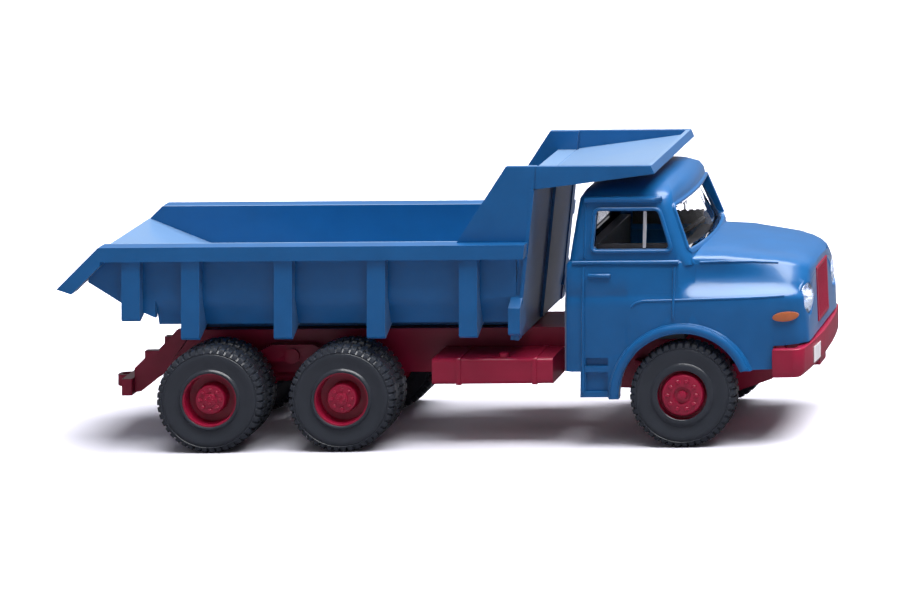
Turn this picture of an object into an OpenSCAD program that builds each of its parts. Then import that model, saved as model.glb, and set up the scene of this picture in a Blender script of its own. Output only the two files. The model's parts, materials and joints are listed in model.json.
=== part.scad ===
// A 1:87 scale model dump truck in moulded plastic, with a short-nosed cab and a tipping rock bed.
// Millimetres. X runs forward, Y to the truck's left, Z up. The origin is on the ground under the middle.

/* [Axles] */
// Ground to the wheel centres
axle_z = 6.3; // [5.8:0.1:7]
// Front axle along the truck
front_axle_x = 29.1; // [28:0.1:30]
// Middle axle along the truck
middle_axle_x = -11; // [-12:0.1:-10]
// Rear axle along the truck
rear_axle_x = -26.5; // [-27.5:0.1:-25.5]
// Axle pin radius
axle_r = 0.6; // [0.4:0.05:0.8]
// Radial clearance of a pin in its bearing
pin_clear = 0.05; // [0.02:0.01:0.1]

/* [Wheels] */
// Tyre radius out to the tips of the tread
tyre_r = 6.3; // [6:0.1:6.6]
// Width of one tyre
tyre_w = 3.2; // [2.6:0.1:3.6]
// Radius where the tyre sits on its rim
bead_r = 3.45; // [3.2:0.05:3.8]
// Outer face of the front tyres from the middle
front_face_y = 13.1; // [12.6:0.1:13.4]
// Outer face of the twin tyres from the middle
rear_face_y = 13.9; // [13.5:0.1:14.2]
// Gap between the two tyres of a twin wheel
twin_gap = 0.4; // [0.2:0.1:0.6]
// Clearance that lets one pressed piece sit in another
seat = 0.02; // [0.01:0.01:0.04]

/* [Chassis] */
// Half the width over the frame rails
frame_half_w = 4.6; // [4.2:0.1:5]
// Thickness of a frame rail
rail_t = 1.1; // [0.8:0.1:1.4]
// Top of the frame
frame_top = 12.75; // [12.4:0.05:13]
// Bottom of the frame between the axles
frame_bottom = 7.4; // [7:0.1:8]
// Thickness of the frame's top deck
deck_t = 1; // [0.6:0.1:1.4]

/* [Tipping bed] */
// Underside of the flat bed floor
bed_bottom = 14.8; // [14.6:0.1:15.2]
// Thickness of the bed floor
floor_t = 1.2; // [0.8:0.1:1.6]
// Top of the bed rim
rim_top = 24.6; // [24:0.1:25.2]
// Height of the outer face of the rim
rim_h = 1.7; // [1.4:0.1:2]
// Half the width over the bed's side walls
wall_half_w = 12.5; // [12:0.1:12.8]
// Thickness of the bed's walls
wall_t = 0.9; // [0.7:0.1:1.2]
// How far the rim stands out from the side walls
rim_out = 1.8; // [1.5:0.1:2.1]
// How far the ribs stand out from the side walls
rib_depth = 1.35; // [0.9:0.05:1.6]
// Width of a rib
rib_w = 2.15; // [1.8:0.05:2.5]
// Rear end of the flat floor
floor_rear_x = -33.2; // [-34:0.1:-32]
// Height of the canopy's top edge over the cab roof
canopy_rise = 2.5; // [2.1:0.1:3]
// Tip hinge along the truck
hinge_x = -31; // [-31.5:0.1:-30.5]
// Tip hinge above the ground
hinge_z = 13.2; // [13:0.05:13.4]
// Tip hinge pin radius
hinge_pin_r = 0.5; // [0.4:0.05:0.6]
// Radius of the hinge ears
hinge_ear_r = 1.25; // [1:0.05:1.4]

/* [Cab] */
// Wall of the cab moulding
cab_wall = 0.8; // [0.6:0.1:1]
// Radius of the wheel arch opening
arch_r = 7.45; // [7:0.05:7.8]
// Radius over the raised arch flange
flange_r = 8.75; // [8.4:0.05:9]
// Half the width over the arch flanges
flange_half_w = 13.5; // [13.4:0.05:13.7]
// Forward lean of the nose, millimetres per millimetre of height
nose_lean = 0.04; // [0.02:0.01:0.08]
// Depth that the panes sit back from the outer skin
pane_depth = 0.22; // [0.1:0.02:0.4]
// Headlamp radius
lamp_r = 1.9; // [1.6:0.05:2.1]
// Headlamps from the middle
lamp_y = 8.5; // [8.2:0.1:8.8]
// Headlamp height
lamp_z = 16.8; // [16.5:0.05:17.1]
// Half the width of the grille
grille_half_w = 3.7; // [3.4:0.1:4]

/* [Hidden] */
$fn = 48;
big = 60;
floor_top = bed_bottom + floor_t;
rail_in = frame_half_w - rail_t;
twin_w = 2 * tyre_w + twin_gap;
rim_half_w = wall_half_w + rim_out;
rib_half_w = wall_half_w + rib_depth;
body_blue = "#1f6fb5";
frame_red = "#8c1c34";
tyre_grey = "#3b4148";
inside_grey = "#4a4c50";
clear_grey = "#b9c4cc";
steel = "#a9adb2";
amber = "#c8641e";
plate_white = "#d9d6d8";

// Left edge along X and foot height of each side rib
rib_table = [[-36.8, 15.7], [-29.8, 13.45], [-18.9, 13.45], [-7.95, 13.45], [2.9, 13.45]];
RIB_X = 0;
RIB_FOOT = 1;

// Cab body stations: along X, top at the middle, shoulder half width and height,
// waist half width, crown half width and height, share of the nose lean
cab_table = [
    [15.0, 22.0, 11.7, 21.6, 11.9, 12.0, 17.8, 0],
    [15.35, 22.3, 12.3, 21.9, 12.5, 12.65, 17.8, 0],
    [16.1, 22.4, 12.6, 22.1, 12.85, 13.0, 17.8, 0],
    [22.3, 22.4, 12.6, 22.1, 12.85, 13.0, 17.8, 0],
    [22.9, 22.4, 12.6, 22.1, 12.85, 13.3, 17.8, 0],
    [28.6, 22.4, 12.5, 22.1, 12.8, 13.3, 17.8, 0],
    [29.3, 22.6, 12.0, 21.95, 12.1, 13.3, 17.8, 0],
    [30.3, 23.15, 11.1, 21.9, 11.0, 13.25, 17.8, 0],
    [33.5, 23.05, 10.7, 21.8, 10.7, 13.15, 17.8, 0],
    [37.0, 22.5, 10.1, 21.45, 10.5, 12.95, 17.85, 0.1],
    [39.5, 22.15, 9.5, 21.2, 10.4, 12.6, 17.9, 0.35],
    [41.2, 21.75, 8.9, 20.85, 10.2, 12.1, 17.8, 0.65],
    [42.3, 21.35, 8.3, 20.45, 9.6, 11.4, 17.6, 0.85],
    [43.1, 20.9, 7.5, 20.0, 8.9, 10.6, 17.3, 0.95],
    [43.5, 20.4, 6.8, 19.5, 8.2, 9.8, 17.0, 1]
];
ST_X = 0;
ST_TOP = 1;
ST_SHOULDER_Y = 2;
ST_SHOULDER_Z = 3;
ST_WAIST_Y = 4;
ST_CROWN_Y = 5;
ST_CROWN_Z = 6;
ST_LEAN = 7;

// Upper cab levels: height, rear X, front X at the corners, half width, corner radius, bow of the front
roof_table = [
    [21.6, 15.3, 30.0, 12.3, 1.4, 1.3],
    [22.9, 15.45, 29.55, 12.15, 1.4, 1.2],
    [28.4, 16.25, 27.35, 11.55, 1.4, 0.8],
    [29.4, 16.4, 27.2, 11.4, 1.5, 0.8],
    [30.2, 16.9, 26.8, 10.8, 1.8, 0.8],
    [30.8, 18.0, 26.0, 9.4, 2.2, 0.7],
    [31.1, 20.0, 24.8, 6.8, 2.4, 0.5]
];
RF_Z = 0;
RF_REAR = 1;
RF_FRONT = 2;
RF_HALF = 3;
RF_CORNER = 4;
RF_BOW = 5;
canopy_top = roof_table[len(roof_table) - 1][RF_Z] + canopy_rise;

// Window corners: the side panes in X and Z, the windscreen and the rear pane in Y and Z
side_pane = [[18.4, 23.6], [27.4, 23.6], [25.9, 28.1], [18.7, 28.1]];
front_pane = [[-11, 23.3], [11, 23.3], [10.2, 28.3], [-10.2, 28.3]];
rear_pane = [[-8.2, 24.1], [8.2, 24.1], [8.2, 27.85], [-8.2, 27.85]];

// Helpers

module both_sides() {
    children();
    mirror([0, 1, 0]) children();
}

// A side view outline in X and Z, drawn across Y
module side_prism(points, y0, y1) {
    translate([0, y1, 0]) rotate([90, 0, 0]) linear_extrude(y1 - y0) polygon(points);
}

// A front view outline in Y and Z, drawn along X
module cross_prism(points, x0, x1) {
    translate([x0, 0, 0]) rotate([90, 0, 90]) linear_extrude(x1 - x0) polygon(points);
}

module block(x0, x1, y0, y1, z0, z1) {
    translate([x0, y0, z0]) cube([x1 - x0, y1 - y0, z1 - z0]);
}

// A round bar across the truck
module cross_bar(x, z, r, y0, y1) {
    translate([x, y0, z]) rotate([-90, 0, 0]) cylinder(r = r, h = y1 - y0);
}

// A closed skin through loops with the same number of points
module loft(loops) {
    n = len(loops[0]);
    m = len(loops);
    points = [for (loop = loops) each loop];
    sides = [for (i = [0 : m - 2]) for (j = [0 : n - 1]) let (k = (j + 1) % n)
        each [[i * n + j, (i + 1) * n + j, (i + 1) * n + k], [i * n + j, (i + 1) * n + k, i * n + k]]];
    caps = [[for (j = [0 : n - 1]) j], [for (j = [n - 1 : -1 : 0]) (m - 1) * n + j]];
    polyhedron(points, concat(sides, caps), convexity = 8);
}

function mid(a, b) = (a + b) / 2;

// A smooth curve that starts and ends on the first and last of the points that steer it
function curve(c, steps) = [
    for (i = [0 : len(c) - 3]) for (k = [0 : steps - 1])
        let (
            t = k / steps,
            a = i == 0 ? c[0] : mid(c[i], c[i + 1]),
            b = i == len(c) - 3 ? c[i + 2] : mid(c[i + 1], c[i + 2])
        )
        (1 - t) * (1 - t) * a + 2 * t * (1 - t) * c[i + 1] + t * t * b,
    c[len(c) - 1]
];

// Wheels, with their axis along Z and their outer face up

module tyre_profile() {
    edge = 0.3;
    shoulder = 0.7;
    wall_r = tyre_r - 1.2;
    polygon([[bead_r, edge], [bead_r + edge, 0.05], [wall_r, 0], [tyre_r - edge, edge], [tyre_r, shoulder],
        [tyre_r, tyre_w - shoulder], [tyre_r - edge, tyre_w - edge], [wall_r, tyre_w],
        [bead_r + edge, tyre_w - 0.05], [bead_r, tyre_w - edge]]);
}

module tyre() {
    rotate_extrude() tyre_profile();
}

// The rim and hub of a wheel of a given width, its dish and hub set by the outer face
module rim(width, lip_r, dish_depth, dish_r, hub_face) {
    back = 0.3;
    lip_drop = 0.25;
    bore_end = width - 1.3;
    rotate_extrude() polygon(concat(
        [[axle_r + seat, back], [bead_r - seat, back], [bead_r - seat, width - lip_drop],
            [lip_r, width - lip_drop], [lip_r - 0.15, width - dish_depth], [dish_r, width - dish_depth]],
        [for (p = hub_face) [p[0], width + p[1]]],
        [[0, bore_end], [axle_r + seat, bore_end]]));
}

// Radius and height of the hub faces, from the edge in, measured from the tyre's outer face
drive_hub_face = [[1.75, -0.75], [1.65, -0.5], [0.75, -0.45], [0.7, -0.25], [0, -0.2]];
steer_hub_face = [[2.5, -0.4], [2.35, -0.15], [1.05, -0.05], [1, -0.3], [0.55, -0.3], [0.5, 0.15], [0, 0.2]];

module front_rim() {
    rim(tyre_w, 3.1, 1.2, 2.6, steer_hub_face);
}

module twin_rim() {
    rim(twin_w, 3, 2.1, 1.85, drive_hub_face);
}

// Puts a wheel piece on its axle: its inner face at a distance from the middle, on the left or mirrored
module on_axle(x, inner_y, right) {
    mirror([0, right ? 1 : 0, 0]) translate([x, inner_y, axle_z]) rotate([-90, 0, 0]) children();
}

module front_wheel_place(right) {
    on_axle(front_axle_x, front_face_y - tyre_w, right) children();
}

module twin_wheel_place(x, right) {
    on_axle(x, rear_face_y - twin_w, right) children();
}

module twin_tyres() {
    tyre();
    translate([0, 0, tyre_w + twin_gap]) tyre();
}

module axle_pin(x, face_y) {
    reach = face_y - 1.4;
    color(steel) cross_bar(x, axle_z, axle_r, -reach, reach);
}

module front_axle_pin() axle_pin(front_axle_x, front_face_y);
module middle_axle_pin() axle_pin(middle_axle_x, rear_face_y);
module rear_axle_pin() axle_pin(rear_axle_x, rear_face_y);

module front_rim_right() color(frame_red) front_wheel_place(true) front_rim();
module front_rim_left() color(frame_red) front_wheel_place(false) front_rim();
module front_tyre_right() color(tyre_grey) front_wheel_place(true) tyre();
module front_tyre_left() color(tyre_grey) front_wheel_place(false) tyre();

module middle_rim_right() color(frame_red) twin_wheel_place(middle_axle_x, true) twin_rim();
module middle_rim_left() color(frame_red) twin_wheel_place(middle_axle_x, false) twin_rim();
module middle_tyres_right() color(tyre_grey) twin_wheel_place(middle_axle_x, true) twin_tyres();
module middle_tyres_left() color(tyre_grey) twin_wheel_place(middle_axle_x, false) twin_tyres();

module rear_rim_right() color(frame_red) twin_wheel_place(rear_axle_x, true) twin_rim();
module rear_rim_left() color(frame_red) twin_wheel_place(rear_axle_x, false) twin_rim();
module rear_tyres_right() color(tyre_grey) twin_wheel_place(rear_axle_x, true) twin_tyres();
module rear_tyres_left() color(tyre_grey) twin_wheel_place(rear_axle_x, false) twin_tyres();

// Chassis

frame_rear_x = -38;
frame_front_x = 39.7;
frame_foot = 5;
deck_rear_x = -28.2;
deck_front_x = 29.4;

// The rails' rear end steps down to the cross beam
tail_step = [10.25, 9.4, 8.2];
rail_rear = [[frame_rear_x + 5, frame_top], [frame_rear_x + 2.9, tail_step[0]],
    [frame_rear_x + 1.2, tail_step[0]], [frame_rear_x + 1.2, tail_step[1]],
    [frame_rear_x, tail_step[2]], [frame_rear_x, frame_foot + 0.3],
    [frame_rear_x + 0.8, frame_foot + 0.4], [frame_rear_x + 3.6, frame_bottom + 0.2]];

// The front end hangs down round the front axle and rises to the bumper
axle_notch = 2.9;
notch_top = axle_z + 2.1;
nose_rear_x = front_axle_x - 9.3;
nose_foot = [[nose_rear_x, frame_foot + 0.4], [front_axle_x - axle_notch, frame_foot + 0.2],
    [front_axle_x - axle_notch, notch_top], [front_axle_x + axle_notch, notch_top],
    [front_axle_x + axle_notch, frame_foot], [front_axle_x + 5.4, frame_foot],
    [frame_front_x - 1.4, frame_foot + 1.3], [frame_front_x, frame_foot + 3.3],
    [frame_front_x, frame_foot + 6], [front_axle_x + 1.9, frame_foot + 6]];
rail_front = concat([[nose_rear_x, frame_bottom]], nose_foot, [[deck_front_x, frame_top]]);
nose_block = concat([[nose_rear_x, frame_top - deck_t]], nose_foot,
    [[deck_front_x + 0.6, frame_top - deck_t]]);

// Cross member behind the hinge, and the spine under the deck: ends along X, half width, bottom and top
tie_x = [frame_rear_x + 3.6, frame_rear_x + 5];
tie_z = [8, 11];
spine_x = [-12, 16];
spine_half_w = 1.5;
spine_z = 9;

module chassis_frame() color(frame_red) difference() {
    deck_z = frame_top - deck_t;
    union() {
        both_sides() {
            side_prism(concat(rail_rear, rail_front), rail_in, frame_half_w);
            cross_bar(hinge_x, hinge_z, hinge_ear_r, rail_in, frame_half_w);
            block(hinge_x - hinge_ear_r, hinge_x + hinge_ear_r, rail_in, frame_half_w, deck_z, hinge_z);
        }
        block(deck_rear_x, deck_front_x, -rail_in, rail_in, deck_z, frame_top);
        side_prism(nose_block, -rail_in, rail_in);
        block(tie_x[0], tie_x[1], -rail_in, rail_in, tie_z[0], tie_z[1]);
        block(spine_x[0], spine_x[1], -spine_half_w, spine_half_w, spine_z, deck_z);
    }
    cross_bar(hinge_x, hinge_z, hinge_pin_r + seat / 2, -big, big);
}

beam_t = 1.25;
beam_half_w = 5.6;
coupling_x = frame_rear_x - 2.25;
coupling_r = 0.55;
jaw_r = 1.05;
jaw_z0 = 5.2;
jaw_z1 = 6.6;
beam_z = [frame_foot + 0.1, frame_foot + 2.1];

module rear_crossbeam() color(frame_red) difference() {
    union() {
        block(frame_rear_x - beam_t, frame_rear_x - seat, -beam_half_w, beam_half_w, beam_z[0], beam_z[1]);
        block(coupling_x, frame_rear_x - beam_t + 0.1, -jaw_r, jaw_r, jaw_z0, jaw_z1);
        translate([coupling_x, 0, jaw_z0]) cylinder(r = jaw_r, h = jaw_z1 - jaw_z0);
    }
    translate([coupling_x, 0, 0]) cylinder(r = coupling_r, h = big);
}

spring_in = frame_half_w + seat;
spring_out = 6.2;
bogie_x = (middle_axle_x + rear_axle_x) / 2;
casing_r = frame_bottom - axle_z - 0.1;

// Bogie spring: half length of its flat top, its height, thickness, and the pivot through its middle
spring_flat = 2.5;
spring_top = 11.2;
spring_t = 2;
spring_end = 1.2;
pivot_z = 9.9;
pivot_r = 0.9;
diff_r = 2.2;
shaft_r = 0.8;

module bogie_spring() {
    side_prism([[rear_axle_x - spring_end, axle_z], [rear_axle_x + spring_end, axle_z],
        [bogie_x - spring_flat, spring_top - spring_t], [bogie_x + spring_flat, spring_top - spring_t],
        [middle_axle_x - spring_end, axle_z], [middle_axle_x + spring_end, axle_z],
        [middle_axle_x + 1, axle_z + 1.6], [bogie_x + spring_flat, spring_top],
        [bogie_x - spring_flat, spring_top], [rear_axle_x - 1, axle_z + 1.6]], spring_in, spring_out);
    cross_bar(bogie_x, pivot_z, pivot_r, spring_in, spring_out + 0.4);
}

module rear_bogie() color(frame_red) difference() {
    union() {
        for (x = [middle_axle_x, rear_axle_x]) {
            cross_bar(x, axle_z, casing_r, -spring_out, spring_out);
            translate([x, 0, axle_z]) sphere(r = diff_r);
        }
        both_sides() bogie_spring();
        translate([rear_axle_x, 0, axle_z]) rotate([0, 90, 0])
            cylinder(r = shaft_r, h = middle_axle_x - rear_axle_x);
    }
    for (x = [middle_axle_x, rear_axle_x]) cross_bar(x, axle_z, axle_r + pin_clear, -big, big);
}

// Front axle: half length of its casing, its beam, and the leaf springs' ends, bend, foot and thickness
front_casing = front_face_y - tyre_w - 1.3;
front_beam = [1.2, 6];
leaf_rear = -7.1;
leaf_front = 7.4;
leaf_bend = 3.5;
leaf_z = frame_bottom;
leaf_t = 0.8;
leaf_rise = 1;

module front_suspension() color(frame_red) difference() {
    union() {
        cross_bar(front_axle_x, axle_z, casing_r, -front_casing, front_casing);
        block(front_axle_x - front_beam[0], front_axle_x + front_beam[0], -front_beam[1], front_beam[1],
            axle_z + 0.7, notch_top - seat);
        both_sides() translate([front_axle_x, 0, leaf_z]) side_prism([[leaf_rear, leaf_rise], [-leaf_bend, 0],
            [leaf_bend, 0], [leaf_front, leaf_rise], [leaf_front, leaf_rise + 0.6], [leaf_bend, leaf_t],
            [-leaf_bend, leaf_t], [leaf_rear, leaf_rise + 0.6]], spring_in, spring_out - 0.3);
    }
    cross_bar(front_axle_x, axle_z, axle_r + pin_clear, -big, big);
}

tank_x0 = -0.85;
tank_x1 = 13.45;
tank_z0 = 7.45;
tank_z1 = 10.55;
tank_y = 11.5;
tank_edge = 0.45;
strap_x = [2, 11];
strap_w = 0.55;
strap_t = 0.12;
cap_x = 7.45;
cap_r = 0.6;
cap_h = 0.45;
cap_in = 1.1;

// A box along X with its long edges rounded
module rounded_box(x0, x1, y0, y1, z0, z1, r) {
    block(x0, x1, y0 + r, y1 - r, z0, z1);
    block(x0, x1, y0, y1, z0 + r, z1 - r);
    for (y = [y0 + r, y1 - r]) for (z = [z0 + r, z1 - r])
        translate([x0, y, z]) rotate([0, 90, 0]) cylinder(r = r, h = x1 - x0);
}

module fuel_tank() color(frame_red) {
    rounded_box(tank_x0, tank_x1, -tank_y, -spring_in, tank_z0, tank_z1, tank_edge);
    for (x = strap_x) rounded_box(x, x + strap_w, -tank_y - strap_t, -spring_in, tank_z0 - strap_t,
        tank_z1 + strap_t, tank_edge);
    translate([cap_x, -tank_y + cap_in, tank_z1 - cap_h]) cylinder(r = cap_r, h = 2 * cap_h);
}

battery_x0 = 4;
lid_h = 0.6;
lid_out = 0.15;

module battery_box() color(frame_red) {
    block(battery_x0, tank_x1, spring_in, tank_y, tank_z0, tank_z1 - lid_h / 2);
    block(battery_x0 - lid_out, tank_x1 + lid_out, spring_in, tank_y + lid_out, tank_z1 - lid_h, tank_z1);
}

// Bumper plan: a shallow bow across the front, turned back round the corners
bumper_z0 = 8.3;
bumper_z1 = 11.75;
bumper_half_w = 13.45;
bumper_front = 44.25;
bumper_rear = 39.8;
bumper_corner = 1.4;
bumper_t = 1.1;
bow_r = 105;

module bumper_plan(inset) {
    intersection() {
        translate([bumper_rear, -big]) square(2 * big);
        offset(delta = -inset) offset(r = bumper_corner) offset(delta = -bumper_corner) intersection() {
            translate([bumper_front - bow_r, 0]) circle(r = bow_r, $fn = 360);
            translate([0, -bumper_half_w]) square([big, 2 * bumper_half_w]);
        }
    }
}

// The bumper's lower edge, drawn in under its face
roll_h = 0.7;
roll_in = 0.45;
tongue_x = [bumper_front - bumper_t - 0.2, bumper_front - roll_in - 0.15];
tongue_half_w = 2.2;
tongue_h = 0.9;

// Blank plate: its ends across the truck, bottom and top
plate_y = [-8.5, -5.3];
plate_z = [9.1, 11];
plate_t = 0.12;

module bumper_slab(inset, z0, z1) {
    translate([0, 0, z0]) linear_extrude(z1 - z0) bumper_plan(inset);
}

module front_bumper() color(frame_red) {
    thin = 0.05;
    difference() {
        hull() {
            bumper_slab(roll_in, bumper_z0, bumper_z0 + thin);
            bumper_slab(0, bumper_z0 + roll_h, bumper_z1);
        }
        bumper_slab(bumper_t, 0, big);
    }
    // Arm to the frame, and the coupling tongue under the middle
    block(frame_front_x + seat, bumper_front - bumper_t / 2, -rail_in, rail_in,
        bumper_z0 + 0.3, bumper_z1 - 0.8);
    block(tongue_x[0], tongue_x[1], -tongue_half_w, tongue_half_w, bumper_z0 - tongue_h, bumper_z0 + roll_h);
}

module front_plate() color(plate_white) {
    intersection() {
        difference() {
            bumper_slab(-seat - plate_t, plate_z[0], plate_z[1]);
            bumper_slab(-seat, 0, big);
        }
        block(bumper_rear, big, plate_y[0], plate_y[1], 0, big);
    }
}

// Cab

// Half of a body section from the top middle down to the bottom, set in by a wall
function cab_half(s, inset) = let (
    top = s[ST_TOP] - inset,
    sy = s[ST_SHOULDER_Y] - inset,
    sz = s[ST_SHOULDER_Z] - inset,
    wy = s[ST_WAIST_Y] - inset,
    cy = s[ST_CROWN_Y] - inset,
    cz = s[ST_CROWN_Z],
    drop = sz - cz
) curve([[0, top], [0.65 * sy, top - 0.1], [sy - 0.5, mid(sz, top)], [sy, sz], [wy, sz - 0.4 * drop],
    [wy + 0.3 * (cy - wy), cz + 0.28 * drop], [cy - 0.25, cz + 0.25], [cy, cz - 0.3], [cy, cz - 2.5],
    [cy, section_foot]], 3);

// Foot of the sections, below the moulding's outline
section_foot = 4;

// Height at which the leaning nose stands at its station's X
lean_z = 17;
// The ends of the cab body, whose stations move in by the wall
rear_zone_x = 20;
nose_zone_x = 38;

function station_x(s, inset) = s[ST_X] + (s[ST_X] < rear_zone_x ? inset : s[ST_X] > nose_zone_x ? -inset : 0);
function lean(s, z) = nose_lean * s[ST_LEAN] * (lean_z - z);

function cab_loop(s, inset) = let (half = cab_half(s, inset), x = station_x(s, inset), n = len(half)) concat(
    [for (p = half) [x + lean(s, p[1]), -p[0], p[1]]],
    [for (i = [n - 1 : -1 : 1]) let (p = half[i]) [x + lean(s, p[1]), p[0], p[1]]]
);

module cab_body(inset) {
    loft([for (s = cab_table) cab_loop(s, inset)]);
}

// Front of the nose at a height
nose_station = cab_table[len(cab_table) - 1];
function nose_x(z) = nose_station[ST_X] + lean(nose_station, z);

// How far the bowed front of the upper cab stands out at a distance from the middle
function bow(s, y, hw) = s[RF_BOW] * (1 - y * y / (hw * hw));

// A loop of the upper cab at one level
function roof_loop(s, inset) = let (
    x0 = s[RF_REAR] + inset,
    x1 = s[RF_FRONT] - inset,
    hw = s[RF_HALF] - inset,
    r = max(s[RF_CORNER] - inset / 2, 0.3),
    front_n = 8,
    corner_n = 5,
    turns = [for (k = [0 : corner_n]) 90 * k / corner_n]
) concat(
    [for (a = turns) [x0 + r - r * cos(a), -hw + r - r * sin(a), s[RF_Z]]],
    [for (a = turns) let (y = -hw + r - r * cos(a)) [x1 - r + r * sin(a) + bow(s, y, hw), y, s[RF_Z]]],
    [for (k = [1 : front_n - 1]) let (y = (-hw + r) * (1 - 2 * k / front_n))
        [x1 + bow(s, y, hw), y, s[RF_Z]]],
    [for (a = turns) let (y = hw - r + r * sin(a)) [x1 - r + r * cos(a) + bow(s, y, hw), y, s[RF_Z]]],
    [for (a = turns) [x0 + r - r * sin(a), hw - r + r * cos(a), s[RF_Z]]]
);

// The lowest loop of a hollow drops below the belt, and the roof's loops come down by its wall
hollow_drop = 0.6;
roof_zone_z = 28;
function level_z(z, inset) =
    z > roof_zone_z ? z - inset :
    z == roof_table[0][RF_Z] && inset > 0 ? z - hollow_drop : z;

module upper_cab(inset) {
    loft([for (s = roof_table) [for (p = roof_loop(s, inset)) [p[0], p[1], level_z(p[2], inset)]]]);
}

// The openings in the upper cab, grown or shrunk by a margin
module pane_outline(points, margin) {
    offset(delta = margin) offset(r = 0.4) offset(delta = -0.4) polygon(points);
}

front_pane_x = 24.8;
rear_pane_x = 18;
pane_reach = 10;

module window_cuts(margin) {
    translate([0, big, 0]) rotate([90, 0, 0]) linear_extrude(2 * big) pane_outline(side_pane, margin);
    translate([front_pane_x, 0, 0]) rotate([90, 0, 90]) linear_extrude(pane_reach)
        pane_outline(front_pane, margin);
    translate([rear_pane_x - pane_reach, 0, 0]) rotate([90, 0, 90]) linear_extrude(pane_reach)
        pane_outline(rear_pane, margin);
}

// Raised beads round the windows, left standing when the openings are cut
bead_w = 0.45;
bead_t = 0.1;

module window_beads() {
    intersection() {
        upper_cab(-bead_t);
        window_cuts(bead_w);
    }
}

// The side view of the cab moulding below the belt
cab_outline = [[14, 9.2], [17.05, 9.2], [17.05, 6.15], [21.8, 6.15], [21.8, 9.25], [39.75, 9.25], [39.75, 12],
    [46, 12], [46, 26], [14, 26]];

// Solid disc of the arch flanges, cut open later with the arch itself: inner face, taper,
// and its feet behind and in front of the wheel
flange_in = 12.4;
flange_taper = 0.15;
flange_foot = [6, 9.2];

module arch_flange() {
    reach = flange_r + 2;
    intersection() {
        both_sides() translate([front_axle_x, flange_in, axle_z]) rotate([-90, 0, 0])
            cylinder(r1 = flange_r + flange_taper, r2 = flange_r - flange_taper,
                h = flange_half_w - flange_in);
        union() {
            block(front_axle_x - reach, front_axle_x, -big, big, flange_foot[0], axle_z + 2 * reach);
            block(front_axle_x, front_axle_x + reach, -big, big, flange_foot[1], axle_z + 2 * reach);
        }
    }
}

// Raised trim along each side of the cab: the middle of its rear end in X, Y and Z, its length and radius
trim_table = [
    [[17.3, 11.3, 29.45], 8.9, 0.34],
    [[18, 13.02, 20.63], 2.6, 0.26],
    [[16, 12.62, 22.13], 12.6, 0.24],
    [[17.9, 12.7, 9.53], 2.4, 0.28]
];
TRIM_START = 0;
TRIM_LENGTH = 1;
TRIM_R = 2;

// Headlamps: front of the bezel, its wall and the depth of the lamp behind it
lamp_x = 43;
lamp_turn = 14;
bezel_t = 0.35;
lamp_depth = 1.6;

// Each headlamp's place, with its axis along Z and turned outward
module at_lamps() {
    both_sides() translate([lamp_x, lamp_y, lamp_z]) rotate([0, 0, lamp_turn]) rotate([0, 90, 0]) children();
}

module lamp_bar(r, back, front) {
    at_lamps() translate([0, 0, -back]) cylinder(r = r, h = back + front);
}

// Step recesses in the cab's feet: bottom and top
step_table = [[6.8, 9.15], [9.85, 10.85]];
step_x = [17.65, 20.3];
step_y = 12.55;

// Raised lines of the doors: middle along X, bottom and top
door_lines = [[17.35, 6.4, 21.7], [28.1, 15.4, 21.6]];
LINE_X = 0;
LINE_FOOT = 1;
LINE_TOP = 2;
line_w = 0.28;
line_t = 0.12;

// Saddle in the cab's back over the frame: ends along X, and its gap beside the rails
saddle_x = [14, 17];
saddle_half_w = frame_half_w + 0.1;

module door_edges() intersection() {
    cab_body(-line_t);
    for (line = door_lines) translate([line[LINE_X], 0, 0])
        block(-line_w / 2, line_w / 2, -big, big, line[LINE_FOOT], line[LINE_TOP]);
}

module cab_shell() color(body_blue) difference() {
    union() {
        intersection() {
            cab_body(0);
            side_prism(cab_outline, -big, big);
        }
        upper_cab(0);
        window_beads();
        door_edges();
        arch_flange();
        lamp_bar(lamp_r + bezel_t, lamp_depth, 0);
        both_sides() for (t = trim_table)
            translate(t[TRIM_START]) rotate([0, 90, 0]) cylinder(r = t[TRIM_R], h = t[TRIM_LENGTH]);
    }
    cab_body(cab_wall);
    upper_cab(cab_wall);
    window_cuts(0);
    cross_bar(front_axle_x, axle_z, arch_r, -big, big);
    block(saddle_x[0], saddle_x[1], -saddle_half_w, saddle_half_w, 0, frame_top + seat);
    side_prism(grille_outline(grille_t + 2 * seat, seat), -grille_half_w - seat, grille_half_w + seat);
    lamp_bar(lamp_r + seat, 2 * lamp_depth, lamp_depth);
    both_sides() for (step = step_table) block(step_x[0], step_x[1], step_y, big, step[0], step[1]);
}

// Grille: bottom, top, thickness, how far it stands out of the nose, and its upright slots
grille_z0 = 13;
grille_z1 = 19.6;
grille_t = 1.2;
grille_proud = 0.12;
slot_count = 9;
slot_w = 0.36;
slot_depth = 0.5;
grille_frame = 0.45;

// The grille's outline from the side: set back by a depth, and grown or shrunk by a margin
function grille_outline(depth, margin) = let (
    z0 = grille_z0 - margin,
    z1 = grille_z1 + margin,
    front = grille_proud + max(margin, 0)
) [
    [nose_x(z0) + front - depth, z0], [nose_x(z0) + front, z0],
    [nose_x(z1) + front, z1], [nose_x(z1) + front - depth, z1]
];

module grille() color(frame_red) difference() {
    pitch = 2 * (grille_half_w - grille_frame) / slot_count;
    side_prism(grille_outline(grille_t, 0), -grille_half_w, grille_half_w);
    for (i = [0 : slot_count - 1]) let (y = (i + 0.5) * pitch - grille_half_w + grille_frame)
        translate([grille_t, 0, 0])
            side_prism(grille_outline(grille_t + slot_depth, -grille_frame), y - slot_w / 2, y + slot_w / 2);
}

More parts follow.
